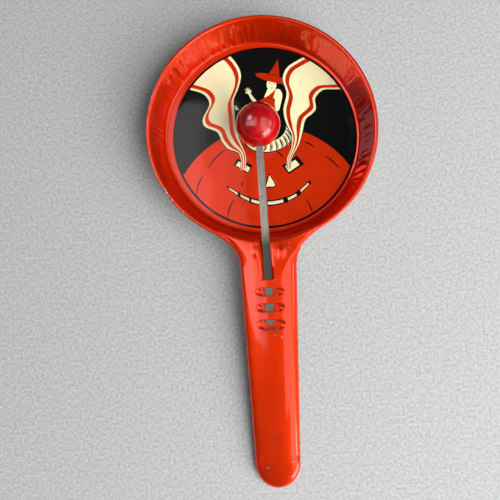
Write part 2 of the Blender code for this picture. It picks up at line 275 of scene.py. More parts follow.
def floor_unevenness(x, y):
    """The face was never quite flat: slow waves a few hundredths of a millimetre high."""
    rise = 0.035 * noise.noise((x / 13.0, y / 13.0, 4.2)) + 0.012 * noise.noise((x / 5.0, y / 5.0, 9.1))
    return (rise + 0.05) * smooth((FLOOR_RADIUS - math.hypot(x, y)) / 4.0)


# ---------------------------------------------------------------- the print: shapes of ink
class Ink:
    ENAMEL, BLACK, CREAM, SHADE = range(4)


def spline(points, steps=9):
    """A smooth curve through the points, as a list of points."""
    pts = [Vector(p) for p in points]
    pts = [2 * pts[0] - pts[1]] + pts + [2 * pts[-1] - pts[-2]]
    out = []
    for a, b, c, d in zip(pts, pts[1:], pts[2:], pts[3:]):
        for k in range(steps):
            t = k / steps
            out.append(0.5 * (2 * b + (c - a) * t + (2 * a - 5 * b + 4 * c - d) * t**2
                              + (3 * b - a - 3 * c + d) * t**3))
    return out + [pts[-2]]


def resample(points, count):
    lengths = [0.0]
    for a, b in zip(points, points[1:]):
        lengths.append(lengths[-1] + (b - a).length)
    wanted = np.linspace(0, lengths[-1], count)
    xs = np.interp(wanted, lengths, [p.x for p in points])
    ys = np.interp(wanted, lengths, [p.y for p in points])
    return [Vector((x, y)) for x, y in zip(xs, ys)]


def stroke(points, width, taper=0.35):
    """A brush line along a smooth curve, thinner towards its ends."""
    line = resample(spline(points, 6), max(6, 3 * len(points)))
    left, right = [], []
    for i, p in enumerate(line):
        along = line[min(i + 1, len(line) - 1)] - line[max(i - 1, 0)]
        side = Vector((-along.y, along.x)).normalized()
        share = math.sin(math.pi * i / (len(line) - 1))
        half = width / 2 * mix(taper, 1.0, share)
        left.append(p + side * half)
        right.append(p - side * half)
    return left + right[::-1]


def oval(x, y, rx, ry, turn=0.0, count=28, start=0.0, stop=360.0):
    c, s = math.cos(math.radians(turn)), math.sin(math.radians(turn))
    out = []
    for k in range(count):
        a = math.radians(mix(start, stop, k / (count if stop - start == 360 else count - 1)))
        u, v = rx * math.cos(a), ry * math.sin(a)
        out.append(Vector((x + c * u - s * v, y + s * u + c * v)))
    return out


def plume(outer, inner):
    """A band of smoke between two edges, fanning out to the ring line, with a stripe along each edge."""
    count = 60
    a, b = resample(spline(outer), count), resample(spline(inner), count)
    limit = PRINT_RADIUS - RING_LINE

    def between(share_from, share_to):
        first = [p.lerp(q, share_from(p, q)) for p, q in zip(a, b)]
        second = [p.lerp(q, share_to(p, q)) for p, q in zip(a, b)]
        start = math.atan2(first[0].y, first[0].x)
        end = math.atan2(second[0].y, second[0].x)
        arc = [Vector((math.cos(t), math.sin(t))) * limit for t in np.linspace(end, start, 14)]
        return first[::-1] + arc[::-1] + second

    def inset(depth, most):
        return lambda p, q: min(most, depth / max(0.01, (q - p).length))

    def far_inset(depth, most):
        return lambda p, q: 1 - min(most, depth / max(0.01, (q - p).length))

    whole = between(lambda p, q: 0.0, lambda p, q: 1.0)
    outlines = [(Ink.BLACK, stroke(edge, 0.75, 0.7)) for edge in (outer, inner)]
    near = between(inset(1.3, 0.16), inset(3.4, 0.38))
    far = between(far_inset(3.4, 0.38), far_inset(1.3, 0.16))
    return outlines + [(Ink.CREAM, whole), (Ink.ENAMEL, near), (Ink.ENAMEL, far)]


def hand(x, y, turn, size):
    """A small hand: a palm, a thumb and four fingers."""
    c, s = math.cos(math.radians(turn)), math.sin(math.radians(turn))
    shapes = [oval(x, y, 0.6 * size, 0.9 * size, turn)]
    for k, spread in enumerate((-0.75, -0.3, 0.02, 0.34, 0.8)):
        reach = (2.3, 3.1, 3.3, 3.0, 2.1)[k] * size
        u, v = reach * math.sin(spread), reach * math.cos(spread)
        tip = (x + c * u - s * v, y + s * u + c * v)
        shapes.append(stroke([(x, y), ((x + tip[0]) / 2, (y + tip[1]) / 2), tip], 0.55 * size, 0.45))
    return [(Ink.CREAM, shape) for shape in shapes]


def figure():
    """A small figure in a pointed hat, seated behind the ball, with a plain face."""
    art = [(Ink.CREAM, spline([(6.0, 22.4), (8.0, 22.0), (9.2, 19.6), (8.4, 15.6), (7.0, 12.0),
                               (4.0, 12.0), (5.6, 16.0), (5.4, 19.0), (6.0, 22.4)], 4))]
    art.append((Ink.CREAM, spline([(2.4, 22.4), (3.6, 23.0), (5.4, 22.6), (7.2, 21.6), (6.4, 18.6),
                                   (3.2, 17.6), (0.8, 18.4), (2.4, 22.4)], 4)))
    art.append((Ink.ENAMEL, [Vector(p) for p in ((-1.6, 17.3), (2.6, 19.3), (6.3, 22.2), (5.0, 18.4),
                                                 (5.8, 13.0), (-1.0, 13.0))]))
    art += hand(-6.0, 20.6, 22, 1.0)
    art.append((Ink.CREAM, stroke([(-5.8, 20.2), (-4.6, 18.2), (-3.0, 16.2)], 1.5, 0.8)))
    art += hand(-12.0, 13.8, 58, 0.8)
    art.append((Ink.CREAM, oval(4.5, 24.6, 2.35, 2.9, -10)))
    art.append((Ink.BLACK, spline([(1.5, 26.4), (2.2, 24.2), (1.2, 22.0), (0.4, 23.6), (-0.4, 26.6),
                                   (2.6, 28.6), (7.4, 27.6), (8.4, 24.6), (7.4, 22.8), (6.6, 24.4),
                                   (6.9, 26.2), (5.4, 27.2), (3.2, 27.3), (1.5, 26.4)], 4)))
    art.append((Ink.BLACK, stroke([(3.0, 25.2), (3.5, 25.35), (4.0, 25.15)], 0.36)))
    art.append((Ink.BLACK, stroke([(5.0, 24.9), (5.5, 25.0), (6.0, 24.75)], 0.36)))
    art.append((Ink.BLACK, stroke([(4.5, 25.0), (4.7, 24.3), (4.5, 24.0)], 0.2)))
    art.append((Ink.ENAMEL, stroke([(4.0, 23.1), (4.6, 22.9), (5.2, 23.0)], 0.42)))
    art.append((Ink.ENAMEL, oval(4.7, 27.5, 7.9, 1.75, -18)))
    art.append((Ink.ENAMEL, [Vector(p) for p in ((2.7, 29.0), (5.4, 32.4), (7.9, 36.4), (8.2, 32.0),
                                                 (8.3, 27.8), (5.6, 27.6))]))
    art.append((Ink.BLACK, stroke([(2.6, 29.1), (5.4, 29.2), (8.4, 27.9)], 0.3)))
    return art


def pumpkin():
    dome = oval(0.2, -40.7, 45.7, 45.7, count=160)
    limit = PRINT_RADIUS - RING_LINE
    crest = [p for p in dome if p.length < limit - 0.01]
    crest.sort(key=lambda p: -p.x)
    a = math.atan2(crest[-1].y, crest[-1].x) % math.tau
    b = math.atan2(crest[0].y, crest[0].x) % math.tau
    arc = [Vector((math.cos(t), math.sin(t))) * limit for t in np.linspace(a, b, 90)]
    art = [(Ink.ENAMEL, crest + arc)]
    ribs = (
        [(-29.4, -16.6), (-31.6, -20.6), (-33.0, -25.8)],
        [(-15.6, -28.6), (-17.8, -32.6), (-19.3, -37.6)],
        [(-18.8, -5.2), (-23.2, -8.6), (-27.0, -13.2)],
        [(18.0, -3.2), (20.4, -4.3), (22.8, -6.0)],
        [(27.4, -10.4), (30.6, -13.0), (33.4, -16.4)],
        [(17.4, -30.2), (19.2, -33.2), (20.2, -36.8)],
        [(5.0, -7.2), (6.6, -8.2), (7.8, -10.2)],
        [(-10.8, -20.4), (-11.4, -21.4), (-11.7, -22.6)],
    )
    art += [(Ink.BLACK, stroke(rib, 0.6, 0.5)) for rib in ribs]
    art += collar() + cut_face()
    return art


def collar():
    """The ribbed cap at the stalk, seen as a cream ring with dark ribs."""
    art = [(Ink.BLACK, oval(2.0, 0.0, 11.7, 7.5, 8, 48)), (Ink.CREAM, oval(2.0, 0.0, 11.2, 7.0, 8, 48))]
    art.append((Ink.BLACK, oval(0.6, 3.8, 9.6, 6.6, 6, 40)))
    for k in range(13):
        a = math.radians(196 + k * 15)
        outer = Vector((2.0 + 11.2 * math.cos(a), 0.1 + 7.0 * math.sin(a)))
        inner = Vector((0.6 + 9.5 * math.cos(a + 0.16), 3.7 + 6.5 * math.sin(a + 0.16)))
        middle = (outer + inner) / 2 + Vector((0.45, -0.25))
        shade = [outer + Vector((0.6, 0.2)), middle + Vector((0.65, 0.1)), inner + Vector((0.6, 0.1))]
        art.append((Ink.SHADE, stroke(shade, 0.8)))
        art.append((Ink.BLACK, stroke([outer, middle, inner], 0.6, 0.55)))
    return art


def cut_face():
    """Eyes, nose and an evenly notched smile cut in the shell, with the shell's thickness in black."""
    left_eye = ((-15.0, -12.6), (-13.0, -9.5), (-6.3, -13.1), (-8.4, -16.9))
    right_eye = ((7.3, -14.0), (14.4, -9.5), (17.6, -13.8), (10.3, -18.0))
    art = []
    for eye, hole in (
        (left_eye, ((-14.0, -12.7), (-12.6, -10.9), (-7.4, -14.1), (-8.5, -16.2))),
        (right_eye, ((8.6, -14.4), (13.6, -11.5), (15.4, -14.0), (10.4, -17.1))),
    ):
        art.append((Ink.BLACK, [Vector(p) for p in eye]))
        art.append((Ink.CREAM, [Vector(p) for p in hole]))
    nose = [(1.1, -17.0), (4.2, -22.6), (3.6, -23.9), (-0.6, -23.9), (-1.3, -22.9), (1.1, -17.0)]
    art.append((Ink.BLACK, [Vector(p) for p in nose[:-1]]))
    art.append((Ink.CREAM, [Vector(p) for p in ((1.3, -18.0), (3.7, -22.7), (3.2, -23.4), (-0.6, -23.4))]))
    upper_lip = ((-18.8, -21.8), (-11.0, -26.6), (-4.0, -29.2), (4.0, -29.5), (12.0, -27.2), (19.8, -21.4))
    lower_lip = ((-18.2, -23.4), (-11.0, -28.9), (-4.0, -31.9), (4.0, -32.2), (12.6, -29.4), (20.4, -22.8))
    upper, lower = spline(upper_lip, 8), spline(lower_lip, 8)
    art.append((Ink.BLACK, upper + lower[::-1]))
    for start, stop in ((0.04, 0.13), (0.17, 0.27), (0.31, 0.46), (0.5, 0.68), (0.73, 0.81), (0.86, 0.97)):
        i, j = int(start * len(upper)), int(stop * len(upper)) + 1
        top = [u.lerp(v, 0.26) for u, v in zip(upper[i:j], lower[i:j])]
        bottom = [u.lerp(v, 0.76) for u, v in zip(upper[i:j], lower[i:j])]
        art.append((Ink.CREAM, top + bottom[::-1]))
    for share in (0.15, 0.29, 0.48, 0.7, 0.835):
        i = int(share * len(upper))
        tick = [upper[i] + Vector((0, 0.7)), upper[i], lower[i] + Vector((0.2, -0.5))]
        art.append((Ink.BLACK, stroke(tick, 0.6, 0.6)))
    return art


def printed_layers():
    """Every shape of ink from the bottom up, in the print's own millimetres."""
    left = plume(
        [(-37.0, 25.2), (-33.0, 24.0), (-27.4, 21.6), (-25.0, 16.8), (-28.2, 10.4), (-27.6, 6.4),
         (-22.0, 3.4), (-19.8, -1.4), (-17.0, -4.8), (-12.8, -6.6), (-11.4, -10.4), (-11.8, -15.2)],
        [(-16.4, 41.4), (-12.0, 36.4), (-9.6, 30.2), (-11.2, 23.6), (-13.6, 18.0),
         (-13.4, 11.0), (-13.2, 5.0), (-11.2, -2.2), (-9.2, -8.0), (-9.4, -14.2)],
    )
    right = plume(
        [(39.6, 20.4), (34.0, 20.6), (28.2, 20.6), (24.4, 17.0), (24.2, 11.4),
         (19.4, 7.2), (17.6, 1.4), (15.4, -4.8), (12.2, -10.2), (10.8, -15.6)],
        [(23.6, 38.4), (17.4, 35.6), (12.0, 32.2), (9.8, 27.0), (11.2, 20.0), (9.4, 12.6),
         (10.2, 6.0), (12.6, 0.4), (12.2, -5.2), (10.0, -10.4), (9.2, -15.4)],
    )
    layers = [(Ink.BLACK, oval(0, 0, PRINT_RADIUS, PRINT_RADIUS, count=240))]
    layers += pumpkin() + figure() + left + right
    return layers


# ---------------------------------------------------------------- the sheet as one fine surface
def inside(points, polygon):
    """Which of the points (an n by 2 array) lie inside the polygon."""
    edge = np.array([(p[0], p[1]) for p in polygon])
    hit = np.zeros(len(points), bool)
    for (x0, y0), (x1, y1) in zip(edge, np.roll(edge, -1, axis=0)):
        if y0 == y1:
            continue
        crosses = (points[:, 1] > min(y0, y1)) & (points[:, 1] <= max(y0, y1))
        at = x0 + (points[:, 1] - y0) * (x1 - x0) / (y1 - y0)
        hit ^= crosses & (points[:, 0] < at)
    return hit


def within_print(p):
    return Vector(p) * min(1.0, PRINT_RADIUS / max(1e-9, Vector(p).length))


def printed_floor(bm, rim_verts, angles):
    """Triangulates the floor along every outline of the print and gives each triangle its ink."""
    shift = Vector(PRINT_CENTRE)
    layers = [(ink, [within_print(p) + shift for p in shape]) for ink, shape in printed_layers()]
    coords, edges = [], []

    def add_loop(points):
        first = len(coords)
        coords.extend(Vector((p[0], p[1])) for p in points)
        count = len(points)
        edges.extend((first + i, first + (i + 1) % count) for i in range(count))

    add_loop([around(ART_EDGE, a, 0) for a in angles])
    for radius in (FLOOR_RADIUS, (FLOOR_RADIUS + ART_EDGE) / 2):
        add_loop([around(radius, a, 0) for a in angles[::2]])
    for _, shape in layers:
        add_loop(shape)
    for radius in (PRINT_RADIUS, PRINT_RADIUS - RING_LINE):
        add_loop([p + shift for p in oval(0, 0, radius, radius, count=240)])
    for j in range(-34, 35):
        for i in range(-30, 31):
            p = Vector(((i + (j % 2) / 2) * FLOOR_PITCH, j * FLOOR_PITCH * 0.866))
            if p.length < FLOOR_RADIUS - 1:
                coords.append(p)
    out, _, faces, *_ = delaunay_2d_cdt(coords, edges, [], 0, 1e-5)

    flat = np.array([(p.x, p.y) for p in out])
    centres = np.array([flat[list(face)].mean(axis=0) for face in faces])
    inks = np.zeros(len(faces), int)
    for ink, shape in layers:
        inks[inside(centres, shape)] = ink
    from_centre = np.hypot(*(centres - np.array(PRINT_CENTRE)).T)
    inks[from_centre > PRINT_RADIUS - RING_LINE] = Ink.BLACK
    inks[from_centre > PRINT_RADIUS] = Ink.ENAMEL

    ring = np.array([(v.co.x, v.co.y) for v in rim_verts])
    verts = []
    for x, y in flat:
        radius = math.hypot(x, y)
        if radius > ART_EDGE - 0.01:
            verts.append(rim_verts[int(np.argmin(np.hypot(ring[:, 0] - x, ring[:, 1] - y)))])
            continue
        over = max(0.0, radius - FLOOR_RADIUS)
        z = SHEET + CORNER_RADIUS - math.sqrt(CORNER_RADIUS**2 - over**2) + floor_unevenness(x, y)
        verts.append(bm.verts.new((x, y, z)))
    for face, ink in zip(faces, inks):
        corners = [verts[i] for i in face]
        if len(set(corners)) == 3:
            bm.faces.new(corners).material_index = int(ink)


def pan_rings():
    """Radius, height and share of the wall's rise (below 0 in the corner) of each ring, going up."""
    start = math.asin((ART_EDGE - FLOOR_RADIUS) / CORNER_RADIUS)
    rings = [(*corner_point(mix(start, WALL, k / 7)), k / 7 - 1) for k in range(8)]
    foot_r, foot_z, _ = rings[-1]
    steps = 18
    for k in range(1, steps + 1):
        rings.append((mix(foot_r, NECK_R, k / steps), mix(foot_z, NECK_Z, k / steps), k / steps))
    return rings


def column_shares():
    even = [0.75 * k / 18 for k in range(1, 19)]
    dense = [0.75 + 0.25 * math.sin(math.pi / 2 * k / 14) for k in range(1, 15)]
    half = even + dense
    return [-share for share in reversed(half)] + [0.0] + half


def neck_rows(columns):
    """Rows from the wall's bend to the straight handle, and how their edges are rolled."""
    rows, edges = [], []
    last = -FILLET_Y - NECK_R
    first_run = EDGE_R - NECK_R
    steps = 34
    fillet_span = math.pi / 2 - NECK_ANGLE
    for k in range(steps + 1):
        t = (k / steps) ** 1.5
        run = mix(first_run, last, t)
        share = t**0.75
        turn = math.pi - fillet_span * (1 - share)
        edge_x = FILLET_X + NECK_FILLET * math.cos(turn)
        edge_y = FILLET_Y + NECK_FILLET * math.sin(turn)
        edge_z = mix(EDGE_Z, crown(edge_y) - DOME_DEPTH * dome_drop(1), smooth(share))
        row = []
        for column in columns:
            curved = around(NECK_R + run, NECK_ANGLE * column, 0)
            straight = Vector((column * HANDLE_HALF_WIDTH, -(NECK_R + run), 0))
            place = curved.lerp(straight, smooth(share))
            pull = abs(column) ** 3
            here = Vector((math.copysign(edge_x, column), edge_y, 0))
            end = around(NECK_R + run, math.copysign(NECK_ANGLE, column), 0)
            side = Vector((math.copysign(HANDLE_HALF_WIDTH, column), -(NECK_R + run), 0))
            end = end.lerp(side, smooth(share))
            place += (here - end) * pull
            height = NECK_Z + neck_bend(place.length - NECK_R) + crown(place.y) - CROWN_HEIGHT
            height -= DOME_DEPTH * dome_drop(across(column)) * smooth(share)
            height += guide_bumps(place.x, place.y)
            height -= groove(place.x, place.y, DOME_DEPTH * dome_drop(across(column)) * smooth(share))
            place.z = mix(height, edge_z, pull * (1 - smooth(share)))
            row.append(place)
        rows.append(row)
        slope = mix(WALL, dome_edge_slope(FILLET_Y), smooth(share))
        edges.append((slope, mix(BEAD_RADIUS, ROLL_RADIUS, share), mix(BEAD_END, ROLL_END, smooth(share))))
    return rows, edges


def handle_levels():
    """Where the rows across the handle lie, close together round the straps, and which are slits."""
    levels = list(np.linspace(FILLET_Y - 0.5, SLITS_Y[0] + SLIT_WIDTH / 2, 9))
    slit_rows = []
    for here, there in zip(SLITS_Y, SLITS_Y[1:]):
        slit_rows.append(len(levels) - 1)
        levels += list(np.linspace(here - SLIT_WIDTH / 2, there + SLIT_WIDTH / 2, 13))
    slit_rows.append(len(levels) - 1)
    levels += list(np.linspace(SLITS_Y[-1] - SLIT_WIDTH / 2, TIP_START_Y + 3, 46))
    return levels, slit_rows


def handle_rows(columns, levels):
    rows = []
    for y in levels:
        row = []
        for column in columns:
            x = column * half_width(y)
            drop = dome_depth(y) * dome_drop(across(column))
            z = crown(y) - drop - groove(x, y, drop)
            row.append(Vector((x, y, z + strap(x, y) + guide_bumps(x, y))))
        rows.append(row)
    steps = 18
    start, width = levels[-1], half_width(TIP_START_Y)
    for step in range(1, steps + 1):
        reach = math.sin(math.pi / 2 * step / steps)
        row = []
        for column in columns:
            turn = column * math.pi / 2
            round_end = Vector((width * math.sin(turn), TIP_START_Y - TIP_LENGTH * math.cos(turn), 0))
            place = Vector((column * half_width(start), start, 0)).lerp(round_end, reach)
            t = (across(column) ** 3 + across(reach) ** 3) ** (1 / 3)
            place.z = crown(place.y) - dome_depth(place.y) * dome_drop(t)
            row.append(place)
        rows.append(row)
    return rows


def rolled(edge, outward, slope, radius, end, steps=14):
    start = slope + math.pi / 2
    up = Vector((0, 0, 1))
    centre = edge - radius * (outward * math.cos(start) + up * math.sin(start))
    angles = [mix(start, end, (k + 1) / steps) for k in range(steps)]
    return [centre + radius * (outward * math.cos(a) + up * math.sin(a)) for a in angles]


def add_row(bm, points):
    return [bm.verts.new(point) for point in points]


def add_quads(bm, low, high, skip=()):
    for i in range(len(low) - 1):
        if i not in skip:
            bm.faces.new((low[i], low[i + 1], high[i + 1], high[i]))


def add_rolled_edge(bm, rim, rows, neck_edges):
    loop = [(vert, (WALL, BEAD_RADIUS, BEAD_END)) for vert in rim]

    def side(vert, j):
        if j < len(neck_edges):
            return vert, neck_edges[j]
        return vert, (dome_edge_slope(vert.co.y), ROLL_RADIUS, ROLL_END)

    loop += [side(row[0], j) for j, row in enumerate(rows) if j > 0]
    loop += [side(vert, len(rows)) for vert in rows[-1][1:-1]]
    loop += [side(rows[j][-1], j) for j in range(len(rows) - 1, 0, -1)]
    rolls = []
    for i, (vert, shape) in enumerate(loop):
        along = loop[(i + 1) % len(loop)][0].co - loop[i - 1][0].co
        outward = Vector((along.y, -along.x, 0)).normalized()
        rolls.append([vert] + add_row(bm, rolled(vert.co, outward, *shape)))
    for before, after in zip(rolls, rolls[1:] + rolls[:1]):
        add_quads(bm, before, after)


def sheet_surface():
    """The printed side of the whole pressing: floor, wall, neck, handle and rolled edge."""
    bm = bmesh.new()
    columns = column_shares()
    neck = [NECK_ANGLE * share for share in columns]
    stations = 520
    open_arc = math.tau - 2 * NECK_ANGLE
    angles = neck + [NECK_ANGLE + open_arc * k / stations for k in range(1, stations)]

    rings = []
    for radius, z, rise in pan_rings():
        ring = []
        for angle in angles:
            push = flute(angle, rise)
            ring.append(around(radius - push * math.sin(WALL), angle, z + push * math.cos(WALL)))
        rings.append(add_row(bm, ring))
    wall_rows = rings[8:]
    for k, row in enumerate(wall_rows):
        rise = (k + 1) / len(wall_rows)
        for vert in row[: len(neck)]:
            dip = groove(vert.co.x, -NECK_R) * smooth((rise - 0.55) / 0.45)
            vert.co -= around(dip / math.tan(WALL), math.atan2(vert.co.x, -vert.co.y), dip)
    printed_floor(bm, rings[0], angles)
    for low, high in zip(rings, rings[1:]):
        add_quads(bm, high + high[:1], low + low[:1])

    top = rings[-1]
    end = len(neck) - 1
    rim = add_row(bm, [around(EDGE_R, a, EDGE_Z) for a in angles[end:] + angles[:1]])
    add_quads(bm, rim, top[end:] + top[:1])

    neck_points, neck_edges = neck_rows(columns)
    rows = [[rim[-1]] + add_row(bm, neck_points[0][1:-1]) + [rim[0]]]
    rows += [add_row(bm, row) for row in neck_points[1:]]
    levels, slit_rows = handle_levels()
    first = len(rows)
    rows += [add_row(bm, row) for row in handle_rows(columns, levels)]
    add_quads(bm, rows[0], top[: len(neck)])
    slits = {first + row for row in slit_rows}
    for j in range(len(rows) - 1):
        low, high = rows[j + 1], rows[j]
        skip = ()
        if j in slits:
            middles = [abs(a.co.x + b.co.x) / 2 for a, b in zip(low, low[1:])]
            skip = [i for i, x in enumerate(middles) if x < SLIT_HALF_LENGTH]
        add_quads(bm, low, high, skip)
    add_rolled_edge(bm, rim, rows, neck_edges)
    return bm


# ---------------------------------------------------------------- making objects
def mesh_object(name, bm, materials):
    """Turns millimetres into metres and makes the object."""
    bmesh.ops.scale(bm, vec=Vector((MM, MM, MM)), verts=bm.verts)
    mesh = bpy.data.meshes.new(name)
    bm.to_mesh(mesh)
    bm.free()
    obj = bpy.data.objects.new(name, mesh)
    bpy.context.scene.collection.objects.link(obj)
    for material in materials:
        mesh.materials.append(material)
    return obj


def apply_modifiers(obj):
    """Replaces the object's mesh by its evaluated one, with no modifier left."""
    graph = bpy.context.evaluated_depsgraph_get()
    mesh = bpy.data.meshes.new_from_object(obj.evaluated_get(graph))
    old = obj.data
    obj.modifiers.clear()
    obj.data = mesh
    bpy.data.meshes.remove(old)
    mesh.name = obj.name


# ---------------------------------------------------------------- materials
class Nodes:
    """Builds one material's node tree with short calls."""

    def __init__(self, name, **sockets):
        self.material = bpy.data.materials.new(name)
        self.material.use_nodes = True
        self.tree = self.material.node_tree
        self.shader = self.tree.nodes["Principled BSDF"]
        for socket, value in sockets.items():
            self.shader.inputs[socket.replace("_", " ")].default_value = value
        self.place = self.add("ShaderNodeTexCoord").outputs["Object"]

    def add(self, kind, **settings):
        node = self.tree.nodes.new(kind)
        for key, value in settings.items():
            setattr(node, key, value)
        return node

    def link(self, source, node, socket):
        self.tree.links.new(source, node.inputs[socket])

    def feed(self, source, socket):
        self.link(source, self.shader, socket)

    def noise(self, size_mm, detail=2.0, stretch=(1, 1, 1), rough=0.5):
        """Noise whose features are about size_mm across."""
        mapping = self.add("ShaderNodeMapping")
        self.link(self.place, mapping, "Vector")
        mapping.inputs["Scale"].default_value = stretch
        node = self.add("ShaderNodeTexNoise")
        self.link(mapping.outputs[0], node, "Vector")
        node.inputs["Scale"].default_value = 1 / (size_mm * MM)
        node.inputs["Detail"].default_value = detail
        node.inputs["Roughness"].default_value = rough
        return node.outputs["Fac"]

    def ramp(self, source, low, high, to_low=0.0, to_high=1.0):
        node = self.add("ShaderNodeMapRange")
        self.link(source, node, "Value")
        for key, value in (("From Min", low), ("From Max", high), ("To Min", to_low), ("To Max", to_high)):
            node.inputs[key].default_value = value
        return node.outputs[0]

    def maths(self, operation, a, b):
        node = self.add("ShaderNodeMath", operation=operation)
        for k, value in enumerate((a, b)):
            if isinstance(value, (int, float)):
                node.inputs[k].default_value = value
            else:
                self.tree.links.new(value, node.inputs[k])
        return node.outputs[0]

    def colour(self, factor, a, b):
        node = self.add("ShaderNodeMix", data_type="RGBA")
        self.tree.links.new(factor, node.inputs[0])
        for k, value in ((6, a), (7, b)):
            if isinstance(value, tuple):
                node.inputs[k].default_value = (*value, 1)
            else:
                self.tree.links.new(value, node.inputs[k])
        return node.outputs[2]

    def attribute(self, name):
        return self.add("ShaderNodeAttribute", attribute_name=name).outputs["Fac"]

    def scratch(self, x, y, turn, length, width):
        """1 inside a thin mark of that length and width, in millimetres, lying at that place."""
        mapping = self.add("ShaderNodeMapping", vector_type="TEXTURE")
        self.link(self.place, mapping, "Vector")
        mapping.inputs["Location"].default_value = (x * MM, y * MM, 0)
        mapping.inputs["Rotation"].default_value = (0, 0, math.radians(turn))
        mapping.inputs["Scale"].default_value = (length / 2 * MM, width / 2 * MM, 1)
        away = self.add("ShaderNodeVectorMath", operation="LENGTH")
        self.link(mapping.outputs[0], away, 0)
        return self.ramp(away.outputs["Value"], 1.1, 0.7)

    def bump(self, *heights):
        """Chains bumps, each a (height source, strength, distance in mm)."""
        normal = None
        for source, strength, distance in heights:
            node = self.add("ShaderNodeBump")
            node.inputs["Strength"].default_value = strength
            node.inputs["Distance"].default_value = distance * MM
            self.link(source, node, "Height")
            if normal:
                self.link(normal, node, "Normal")
            normal = node.outputs[0]
        self.feed(normal, "Normal")


# Each scratch is x, y, turn in degrees, length and width.
SCRATCHES = (
    (-4.0, -148.4, -8, 3.0, 0.45), (6.6, -146.3, 28, 2.2, 0.35), (-0.6, -132.6, 70, 1.3, 0.5),
    (0.6, -133.0, 20, 0.7, 0.5), (7.0, -126.4, 80, 0.9, 0.3), (-2.2, -150.4, 0, 0.5, 0.4),
    (5.8, -152.6, 60, 0.9, 0.4), (2.6, -102.0, 0, 0.5, 0.5), (9.0, -134.0, 85, 0.8, 0.3),
    (4.4, -91.6, 40, 0.9, 0.6), (1.2, -90.6, 0, 0.8, 0.7), (9.4, -52.0, 84, 2.6, 0.28),
)


def litho_ink(name, base, worn, speckle, metal):
    """One ink of the print under its stoving varnish: slight density changes, scuffs, and chips to metal.

    A thin ink lets the tin shine through, so part of it reflects as coloured metal."""
    m = Nodes(name, IOR=1.5, Specular_IOR_Level=0.0, Coat_Weight=1.0, Coat_IOR=1.5)
    m.shader.inputs["Specular Tint"].default_value = (*(0.15 + 0.85 * c for c in base), 1)
    cloudy = m.ramp(m.noise(9, 3), 0.3, 0.7)
    tone = m.colour(cloudy, tuple(c * 0.94 for c in base), base)
    specks = m.ramp(m.noise(0.45, 1), 0.76, 0.80)
    tone = m.colour(m.maths("MULTIPLY", specks, speckle), tone, worn)
    scuff = m.ramp(m.noise(0.5, 3, (0.12, 1, 1)), 0.72, 0.76)
    where = m.ramp(m.noise(14, 2), 0.63, 0.72)
    scuffed = m.maths("MULTIPLY", scuff, where)
    tone = m.colour(m.maths("MULTIPLY", scuffed, 0.35), tone, worn)
    # Painted shade: the ink goes dark and its coat dull along the slits, and it is also darker in the
    # floor's corner.
    shade_and_corner_dark = m.maths("MULTIPLY", m.attribute("shade_and_corner_dark"), m.ramp(m.noise(1.5, 4), 0.3, 0.7, 0.4, 1.0))
    tone = m.colour(shade_and_corner_dark, tone, tuple(c * 0.12 for c in base))
    edge = m.maths("ADD", m.attribute("wear"), m.ramp(m.noise(1.1, 5, rough=0.65), 0.2, 0.8, -0.5, 0.5))
    chips = m.ramp(edge, 0.62, 0.68)
    if metal:
        for scratch in SCRATCHES:
            chips = m.maths("MAXIMUM", chips, m.scratch(*scratch))
    chip_tone = m.colour(m.ramp(m.noise(0.8, 3), 0.48, 0.62), (0.06, 0.045, 0.035), (0.62, 0.58, 0.52))
    m.feed(m.colour(chips, tone, chip_tone), "Base Color")
    m.feed(m.ramp(chips, 0, 1, metal, 0.9), "Metallic")
    m.feed(m.ramp(m.noise(5, 4), 0.35, 0.75, 0.36, 0.44), "Roughness")
    gloss = m.ramp(m.noise(6, 4), 0.35, 0.75, 0.05, 0.10)
    gloss = m.maths("ADD", gloss, m.maths("MULTIPLY", scuffed, 0.06))
    gloss = m.maths("ADD", gloss, m.maths("MULTIPLY", shade_and_corner_dark, 0.6))
    m.feed(m.maths("ADD", gloss, m.maths("MULTIPLY", chips, 0.28)), "Coat Roughness")
    m.bump((m.noise(0.9, 2), 0.10, 0.02), (m.noise(7, 1), 0.25, 0.05), (chips, 0.6, -0.03))
    m.tree.links.new(m.shader.inputs["Normal"].links[0].from_socket, m.shader.inputs["Coat Normal"])
    return m.material


def bare_tinplate():
    """The unprinted back: dull tin with a fine rolling grain, spangle and brown age spots."""
    m = Nodes("bare_tinplate", Metallic=1.0)
    grain = m.noise(0.35, 3, (1, 0.05, 1))
    tone = m.colour(m.ramp(m.noise(5, 4), 0.35, 0.7), (0.42, 0.40, 0.36), (0.56, 0.55, 0.52))
    spots = m.ramp(m.noise(2.2, 6, rough=0.7), 0.62, 0.72)
    tone = m.colour(m.maths("MULTIPLY", spots, 0.7), tone, (0.16, 0.09, 0.045))
    # Painted shade: nearly black along the slits' cut edges, and darker in the floor's corner.
    m.feed(m.colour(m.attribute("shade_and_corner_dark"), tone, (0.02, 0.016, 0.012)), "Base Color")
    dull = m.ramp(m.noise(4, 3), 0.3, 0.7, 0.28, 0.42)
    m.feed(m.maths("ADD", dull, m.maths("MULTIPLY", spots, 0.3)), "Roughness")
    m.bump((grain, 0.15, 0.02), (m.noise(3, 2), 0.15, 0.04), (spots, 0.2, 0.02))
    return m.material


# The strip has painted shade towards the first strap, standing in for the dark it reflects there, and less
# of it where it weaves.
SHADE_FAINT_Y = -43.5
SHADE_FULL_Y = -51.5
WOVEN_FROM_Y = -66.5
WOVEN_FULL_Y = -67.5


